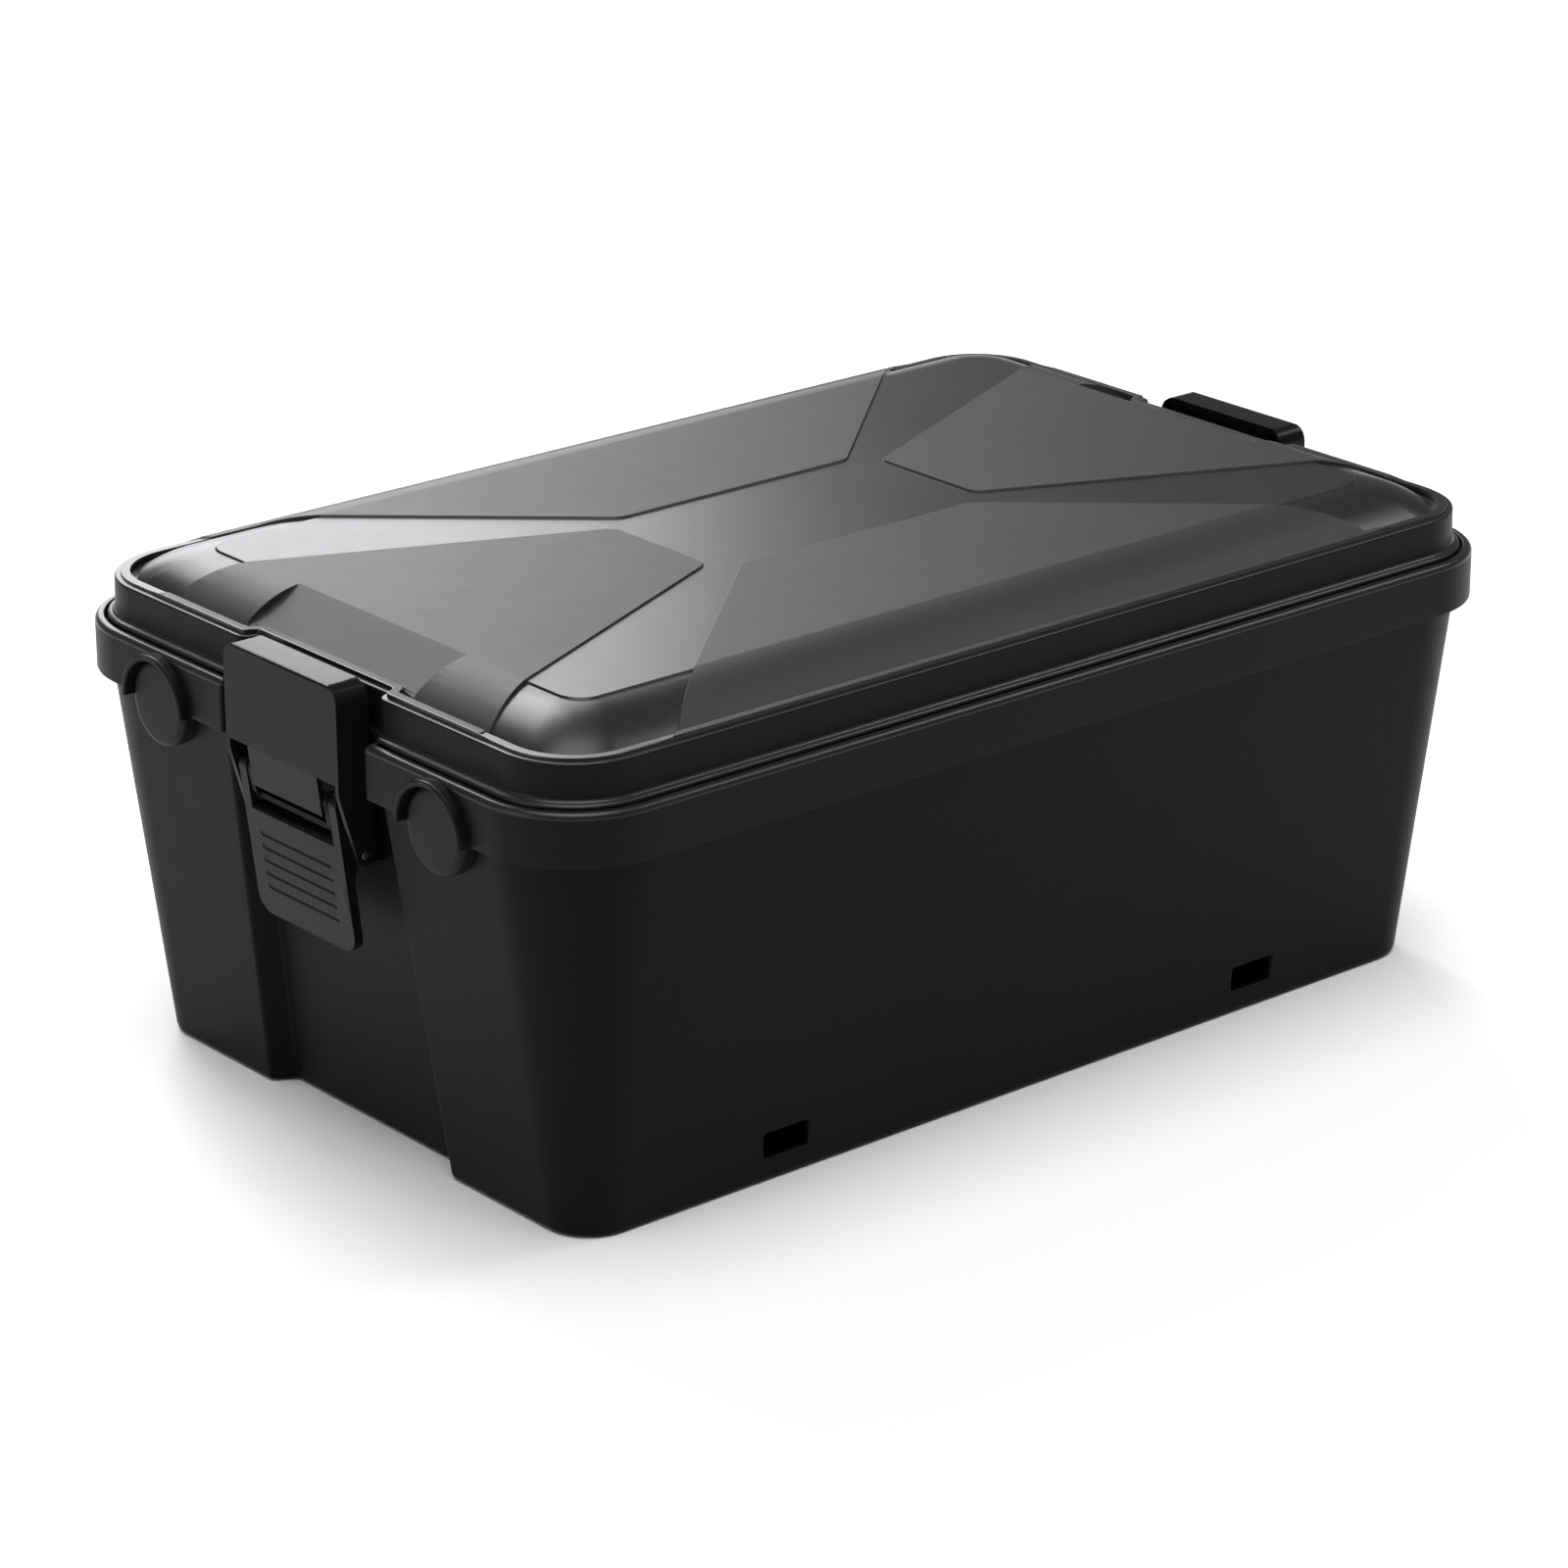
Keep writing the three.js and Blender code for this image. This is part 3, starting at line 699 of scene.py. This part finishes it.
def lid_height(p):
    """Height of the lid's upper face at points in plan."""
    d = inset_of(p)
    s = line_distance(p, LIP_LINE)
    share = raised_share(p)
    low = np.interp(d, *CROWN_LOW)
    low = np.where(d > CREASE - 0.8, low + (248.0 - 247.1) * step_curve((d - CREASE + 0.8) / 0.8), low)
    high = np.interp(d, *CROWN_HIGH)
    z = low + (high - low) * share
    plane = 236.7 + (275.2 - np.abs(p[:, 0])) * (249.05 - 236.7) / (275.2 - 247.4)
    within = step_curve((POCKET + 0.35 - np.abs(p[:, 1])) / 0.7) * (np.abs(p[:, 0]) > 240)
    z = z + (np.minimum(z, plane) - z) * within
    lip = 236.8 + 0.7 * share
    return np.where(s < LIP_IN + 1.0, lip + (z - lip) * step_curve((s - LIP_IN) / 0.7), z)


def make_lid():
    bm = bmesh.new()
    edge = lid_ring(LIP_INSET + LIP_OUT)
    lip = 236.8 + 0.7 * raised_share(np.array(edge))
    # outside, from the foot up to the lip
    outer = [(10.2, 200.5), (9.9, 200.8), (9.6, 201.3), (9.6, 211.4), (6.9, 211.4), (6.45, 211.6),
             (6.3, 212.0), (6.3, 216.1), (6.3, 216.3), (6.5, 216.8), (7.0, 217.3), (7.7, 217.6), (8.4, 217.8),
             (9.1, 218.3), (9.7, 219.2), (9.95, 220.2), (10.0, 221.5), (10.2, 234.2), (10.35, 234.8),
             (10.7, 235.2), (11.2, 235.4), (12.95, 235.4), (13.15, 235.5)]
    rings = [(lid_ring(d, FOOT_NOTCH_HALF if z < 216.2 else NOTCH_HALF), z) for d, z in outer]
    rings.append((lid_ring(13.25), list(lip - 0.5)))
    rings.append((lid_ring(13.45), list(lip - 0.15)))
    rings.append((edge, list(lip)))
    # inside, from the rib up to the underside of the crown
    inner = [(10.6, 200.3), (12.4, 200.3), (12.8, 200.6), (13.0, 201.0), (13.2, 218.6), (13.2, 219.2),
             (13.3, 229.5), (14.3, 231.6)]
    under = [(lid_ring(d, FOOT_NOTCH_HALF if z < 219 else NOTCH_HALF), z) for d, z in inner]
    start = np.array(lid_ring(14.3))
    target = np.stack([np.clip(start[:, 0], -243, 243), np.clip(start[:, 1], -138, 138)], -1)
    for f, z in ((0.2, 234.5), (0.4, 238.6), (0.6, 241.6), (0.8, 243.4), (1.0, 244.3)):
        drop = np.where((np.abs(start[:, 1]) < 70) & (np.abs(start[:, 0]) > 200), 3.2 * (1 - f), 0.0)
        ring = start + (target - start) * f
        under.append(([tuple(q) for q in ring], list(z - drop)))
    loft(bm, rings, close_first=False, close_last=False)
    loft(bm, under, close_first=False, close_last=True)
    foot = [(lid_ring(d, FOOT_NOTCH_HALF), z) for d, z in ((10.2, 200.5), (10.6, 200.3))]
    loft(bm, foot, close_first=False, close_last=False)
    points, faces = top_face(edge)
    corners = [bm.verts.new((x / 1000, y / 1000, z / 1000)) for x, y, z in points]
    for tri, raised in faces:
        f = bm.faces.new([corners[i] for i in tri])
        f.material_index = 1 if raised else 0
    bmesh.ops.remove_doubles(bm, verts=bm.verts, dist=0.00001)
    bmesh.ops.recalc_face_normals(bm, faces=bm.faces)
    lid = new_object("lid_moulding", bm, [BAND, PANEL])
    for x0, x1 in ((-288.7, -279.5), (279.5, 288.7)):
        catch = slab("catch", x0, x1, -36, 36, 217, 229, [TUB])
        round_edges(catch, 0.6)
        lid = join([lid, catch])
    # textured upright walls between the flange and the lip
    finish_by_place(lid, [(TUB, lambda c, n: abs(n.z) < 0.3 and 0.2195 < c.z < 0.235)])
    smooth(lid, 38)
    return lid


def top_face(edge):
    """Triangulated upper face inside the lip's outer edge, with every feature line as an edge."""
    verts, edges = [], []

    def add(path, closed=True, limit=12.0):
        """Adds a line whose spans are split to at most about the limit."""
        first = len(verts)
        pts = []
        n = len(path)
        for i in range(n if closed else n - 1):
            a, b = Vector(path[i]), Vector(path[(i + 1) % n])
            pts.append(tuple(a))
            pieces = int((b - a).length // limit)
            for k in range(1, pieces + 1):
                pts.append(tuple(a + (b - a) * k / (pieces + 1)))
        if not closed:
            pts.append(path[-1])
        verts.extend(Vector(q) for q in pts)
        m = len(pts)
        for i in range(m if closed else m - 1):
            edges.append((first + i, first + (i + 1) % m))

    verts.extend(Vector(q) for q in edge)
    boundary = list(range(len(edge)))
    for t in (LIP_IN, LIP_IN + 0.35, LIP_IN + 0.7):
        add(lid_ring(LIP_INSET + t), limit=20)
    for d in (20.3, 22.0, 24.2, 27.0, 30.5, 34.5, 39.0, 43.5, 48.0, CREASE - 0.8, CREASE - 0.4, CREASE):
        add(plain_ring(RIM_X - d, RIM_Y - d, lid_corner(d)), limit=20)
    for path in PANELS:
        for amount in (-RISER, 0.0, RISER):
            add(offset_line(path, amount), limit=9)
    for s in (-1, 1):
        for y in (-POCKET, POCKET):
            for g in (-0.35, 0.35):
                add([(s * 283.0, y + g), (s * 243.0, y + g)], False, 4)
        add([(s * 247.4, -POCKET - 0.35), (s * 247.4, POCKET + 0.35)], False, 6)
        for x in (254.0, 261.0, 268.0, 275.2):
            add([(s * x, -POCKET - 0.35), (s * x, POCKET + 0.35)], False, 10)
    # a fine grid round the notch's corners, where the lip turns
    fine = np.array([(sx * (270.3 + 0.63 * i), sy * (45.2 + 0.63 * j))
                     for sx in (-1, 1) for sy in (-1, 1) for i in range(30) for j in range(34)])
    fine = fine[inside_polygon(fine, edge) & (line_distance(fine, edge) > 0.25)]
    verts.extend(Vector(q) for q in fine)
    out = delaunay_2d_cdt(verts, edges, [boundary], 1, 1e-4)
    points = np.array([tuple(v) for v in out[0]])
    heights = lid_height(points)
    centres = np.array([points[list(f)].mean(0) for f in out[2]])
    raised = raised_share(centres) > 0.5
    within = inside_polygon(centres, edge)
    return ([(x, y, h) for (x, y), h in zip(points, heights)],
            [(tuple(f), bool(r)) for f, r, k in zip(out[2], raised, within) if k])


# ---------- latch, made at the -X end ----------
def tab_x(z):
    """Front face of the closed lever, which leans in toward its tip."""
    return -(281.1 + 0.125 * z)


def make_hook():
    """Plate with rounded upper corners, hollow behind, that hooks over the lid and turns on the link pins."""
    side = [*disc(*LINK, 5.1, 10, -155, 0), (-287.3, 205), (-288.4, 240.4), (-304.6, 240.4),
            (-305.6, 239.9), (-306.0, 238.9), (-306.0, 189.0)]
    body = prism("hook", "y", side, -HOOK_HALF, HOOK_HALF, [LATCH])
    front = closed_fillets([(-HOOK_HALF, 140, 0), (HOOK_HALF, 140, 0), (HOOK_HALF, 240.4, 8.5),
                            (-HOOK_HALF, 240.4, 8.5)], 8)
    combine(body, [prism("front", "x", front, -320, -270)], "INTERSECT")
    hollow = closed_fillets([(-41, 130, 0), (41, 130, 0), (41, 237.4, 6), (-41, 237.4, 6)], 6)
    cuts = [prism("hollow", "x", hollow, -303, -270), slab("below", -320, -302, -41, 41, 130, 193.5),
            slab("cap_back", -289, -280, -41, 41, 225, 250),
            prism("bore", "y", disc(*LINK, BORE_R, 24), -60, 60)]
    combine(body, cuts)
    tongue = [(-306, 195), (-306, 193.2), (-303.6, 174), (-301.4, 174), (-303, 188), (-303, 195)]
    lip = slab("return", -291.6, -289, -36, 36, 231, 238.5, [LATCH])
    combine(body, [prism("tongue", "y", tongue, -27, 27, [LATCH]), lip], "UNION")
    round_edges(body, 0.7, 3, 30)
    smooth(body, 60)
    return body


def finger_groove(z):
    """Cutter for one finger groove across the tab, with rounded ends."""
    stations = ((-29.2, 0.5), (-28.9, 1.6), (-28.0, 2.35), (-26.6, 2.6),
                (26.6, 2.6), (28.0, 2.35), (28.9, 1.6), (29.2, 0.5))
    return solid("groove", [[(u, y, v) for u, v in disc(tab_x(z) - 1.95, z, r, 20)] for y, r in stations])


def make_lever():
    """Thumb tab with a cheek at each side that carries the pivot and the link."""
    side = [(tab_x(107), 107), (tab_x(107) + 4.6, 107.6), (tab_x(150) + 5, 150),
            (tab_x(163) + 5, 163.2), (tab_x(160.4) + 0.6, 161.4), (tab_x(160.4), 160.4)]
    tab = prism("lever", "y", side, -LEVER_HALF, LEVER_HALF, [LATCH])
    front = closed_fillets([(-LEVER_HALF, 107, 9), (LEVER_HALF, 107, 9), (LEVER_HALF, 200, 0),
                            (-LEVER_HALF, 200, 0)], 8)
    combine(tab, [prism("front", "x", front, -320, -280)], "INTERSECT")
    outline = [(tab_x(178), 178), (tab_x(140), 140), (tab_x(140) + 4, 140), (-292.6, 151.6),
               *disc(*LINK, 4.9, 6, -70, 20), *disc(*PIVOT, 4.9, 10, 20, 190)]
    cheeks = [prism("cheek", "y", outline, low, high, [LATCH])
              for low, high in ((-LEVER_HALF, -CHEEK_IN), (CHEEK_IN, LEVER_HALF))]
    combine(tab, cheeks, "UNION")
    cuts = [prism("bore", "y", disc(*c, BORE_R, 24), -60, 60) for c in (PIVOT, LINK)]
    cuts += [finger_groove(149.2 - 6.8 * i) for i in range(5)]
    combine(tab, cuts)
    round_edges(tab, 0.5, 2, 30)
    smooth(tab, 60)
    return tab


def make_bracket():
    """Back plate with two ears for the pivot pin and a tie between them."""
    body = slab("bracket", -288.2, -286.3, -BRACKET_HALF, BRACKET_HALF, 153, 206, [BRACKET_PAINTED_SHADE])
    ear = [(-287, 161), (-287, 200), *disc(*PIVOT, 4.7, 8, 70, 200), (-301.5, 170), (-298, 164.2)]
    parts = [prism("ear", "y", ear, low, high, [BRACKET_PAINTED_SHADE]) for low, high in ((-30.8, -27.6), (27.6, 30.8))]
    parts.append(slab("tie", -299.5, -297, -BRACKET_HALF, BRACKET_HALF, 166.5, 169.3, [BRACKET_PAINTED_SHADE]))
    combine(body, parts, "UNION")
    cuts = [prism("bore", "y", disc(*PIVOT, BORE_R, 24), -60, 60)]
    cuts += [prism("bore", "x", disc(y, z, 2.4, 20), -295, -280) for y in SCREW_YS for z in SCREW_ZS]
    combine(body, cuts)
    round_edges(body, 0.4, 2, 30)
    smooth(body, 60)
    return body


def make_rod(name, y0, y1, x, z, r, material):
    """Pin along Y with broken edges and slightly domed ends."""
    stations = ((y0, r * 0.55), (y0 + 0.15, r - 0.5), (y0 + 0.6, r), (y1 - 0.6, r), (y1 - 0.15, r - 0.5),
                (y1, r * 0.55))
    o = solid(name, [[(u, y, v) for u, v in disc(x, z, q, 32)] for y, q in stations], [material])
    smooth(o, 50)
    return o


def make_screw(name, y, z):
    """Pan-head cross-recess screw along X."""
    profile = [(2.1, 0.0), (2.1, 1.85), (3.9, 1.85), (4.0, 2.2), (3.8, 2.95), (3.1, 3.65), (2.0, 4.0),
               (0.6, 4.1)]
    o = solid(name, [[(-286.65 - u, a, b) for a, b in disc(y, z, r, 28)] for r, u in profile], [SCREW])
    cross = [slab("bar", -294, -289.6, y - 1.9, y + 1.9, z - 0.5, z + 0.5),
             slab("bar", -294, -289.6, y - 0.5, y + 0.5, z - 1.9, z + 1.9)]
    combine(o, cross)
    smooth(o, 50)
    return o


# ---------- build and hang every piece on its body ----------
def place(o, body, slot, *nodes):
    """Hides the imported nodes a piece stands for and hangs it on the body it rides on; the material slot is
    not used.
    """
    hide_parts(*nodes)
    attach(o, body)


tub = make_tub()
place(tub, "tub_body", "tub_plastic", "tub")
lid = make_lid()
place(lid, "lid_body", "lid_plastic", "lid")

hook = make_hook()
lever = make_lever()
bracket = make_bracket()
pivot = make_rod("pivot_near", -37.5, 37.5, *PIVOT, PIN_R, PIN)
link_a = make_rod("link_a_near", -43.6, -32.2, *LINK, PIN_R, PIN)
link_b = make_rod("link_b_near", 32.2, 43.6, *LINK, PIN_R, PIN)
plug_a = make_plug(-PORT_Y)
plug_b = make_plug(PORT_Y)
smooth(plug_a, 40)
smooth(plug_b, 40)
places = [(sy, sz) for sz in SCREW_ZS for sy in SCREW_YS]
screws = [make_screw(f"screw_{i}_near", sy, sz) for i, (sy, sz) in enumerate(places, 1)]

# piece, its name, its body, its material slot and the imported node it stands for, each without the end's name
listed = [
    (hook, "hook", "hook_body", "latch_plastic", "hook_plate"),
    (lever, "lever_piece", "lever_body", "latch_plastic", "lever"),
    (bracket, "bracket_piece", "tub_body", "bracket_plastic", "bracket"),
    (pivot, "pivot", "tub_body", "pin_steel", "pivot_pin"),
    (link_a, "link_a", "lever_body", "pin_steel", "link_pin_a"),
    (link_b, "link_b", "lever_body", "pin_steel", "link_pin_b"),
    (plug_a, "plug_a", "tub_body", "plug_plastic", "port_plug_a"),
    (plug_b, "plug_b", "tub_body", "plug_plastic", "port_plug_b"),
]
for i, screw in enumerate(screws, 1):
    listed.append((screw, f"screw_{i}", "tub_body", "screw_steel", f"bracket_screw_{i}"))
for o, name, body, slot, cad in listed:
    o.name = f"{name}_near"
    twin = far_copy(o, f"{name}_far")
    for item, end in ((o, "near"), (twin, "far")):
        on = body if body == "tub_body" else f"{body}_{end}"
        place(item, on, slot, f"{cad}_{end}")


# ---------- floor, light, camera ----------
def make_floor():
    bm = bmesh.new()
    bmesh.ops.create_grid(bm, x_segments=2, y_segments=2, size=30.0)
    m = bpy.data.materials.new("painted_white_studio_floor")
    m.use_nodes = True
    b = m.node_tree.nodes["Principled BSDF"]
    b.inputs["Base Color"].default_value = srgb("f4f4f4")
    b.inputs["Roughness"].default_value = 0.7
    b.inputs["Specular IOR Level"].default_value = 0.1
    floor = new_object("studio_floor", bm, [m])
    floor.location.z = -0.0006


def area(name, at, to, size_x, size_y, power):
    light = bpy.data.lights.new(name, "AREA")
    light.shape = "RECTANGLE"
    light.size = size_x
    light.size_y = size_y
    light.energy = power
    light.color = (0.985, 0.97, 1.0)
    o = bpy.data.objects.new(name, light)
    bpy.context.scene.collection.objects.link(o)
    o.location = at
    o.rotation_euler = (Vector(to) - Vector(at)).to_track_quat("-Z", "Y").to_euler()
    return o


def make_light():
    scene = bpy.context.scene
    world = bpy.data.worlds.new("studio")
    scene.world = world
    world.use_nodes = True
    world.node_tree.nodes["Background"].inputs["Color"].default_value = (0.93, 0.95, 1.0, 1.0)
    world.node_tree.nodes["Background"].inputs["Strength"].default_value = 0.21
    sun = bpy.data.lights.new("overhead", "SUN")
    sun.energy = 2.5
    sun.angle = math.radians(50)
    o = bpy.data.objects.new("overhead", sun)
    scene.collection.objects.link(o)
    o.rotation_euler = (math.radians(6), math.radians(-6), 0)
    # tall softbox behind on the left: its reflection lies on the left half of the lid
    area("back_left", (1.5, 3.3, 1.6), (-0.1, 0.1, 0.25), 1.7, 2.3, 60.0)
    # high softbox behind: lifts the slopes that face the latches and draws the light lines on the end edges
    area("high_back", (0.5, 2.5, 2.4), (0, 0, 0.2), 1.5, 1.1, 44.0)
    # small one high on the right: draws the lines along the lid's flange and the rim's top edge
    area("high_right", (2.2, -0.9, 2.6), (0, 0, 0.2), 0.9, 0.9, 20.0)
    # low and weak, in front of the near end: keeps the latch and the end wall from going black
    area("end_fill", (-3.2, 0.4, 1.0), (0, 0, 0.12), 1.6, 1.4, 13.0)


def make_camera():
    data = bpy.data.cameras.new("camera")
    data.sensor_width = 36.0
    data.lens = 122.43
    data.shift_x = -0.0077
    data.shift_y = 0.0201
    data.clip_start = 0.05
    data.clip_end = 100.0
    o = bpy.data.objects.new("camera", data)
    bpy.context.scene.collection.objects.link(o)
    o.location = (-1.5926, -1.8718, 1.0479)
    o.rotation_euler = (Vector((0, 0, 0.09)) - o.location).to_track_quat("-Z", "Y").to_euler()
    bpy.context.scene.camera = o


make_floor()
make_light()
make_camera()
bpy.context.scene.view_settings.view_transform = "Standard"

bpy.context.view_layer.update()
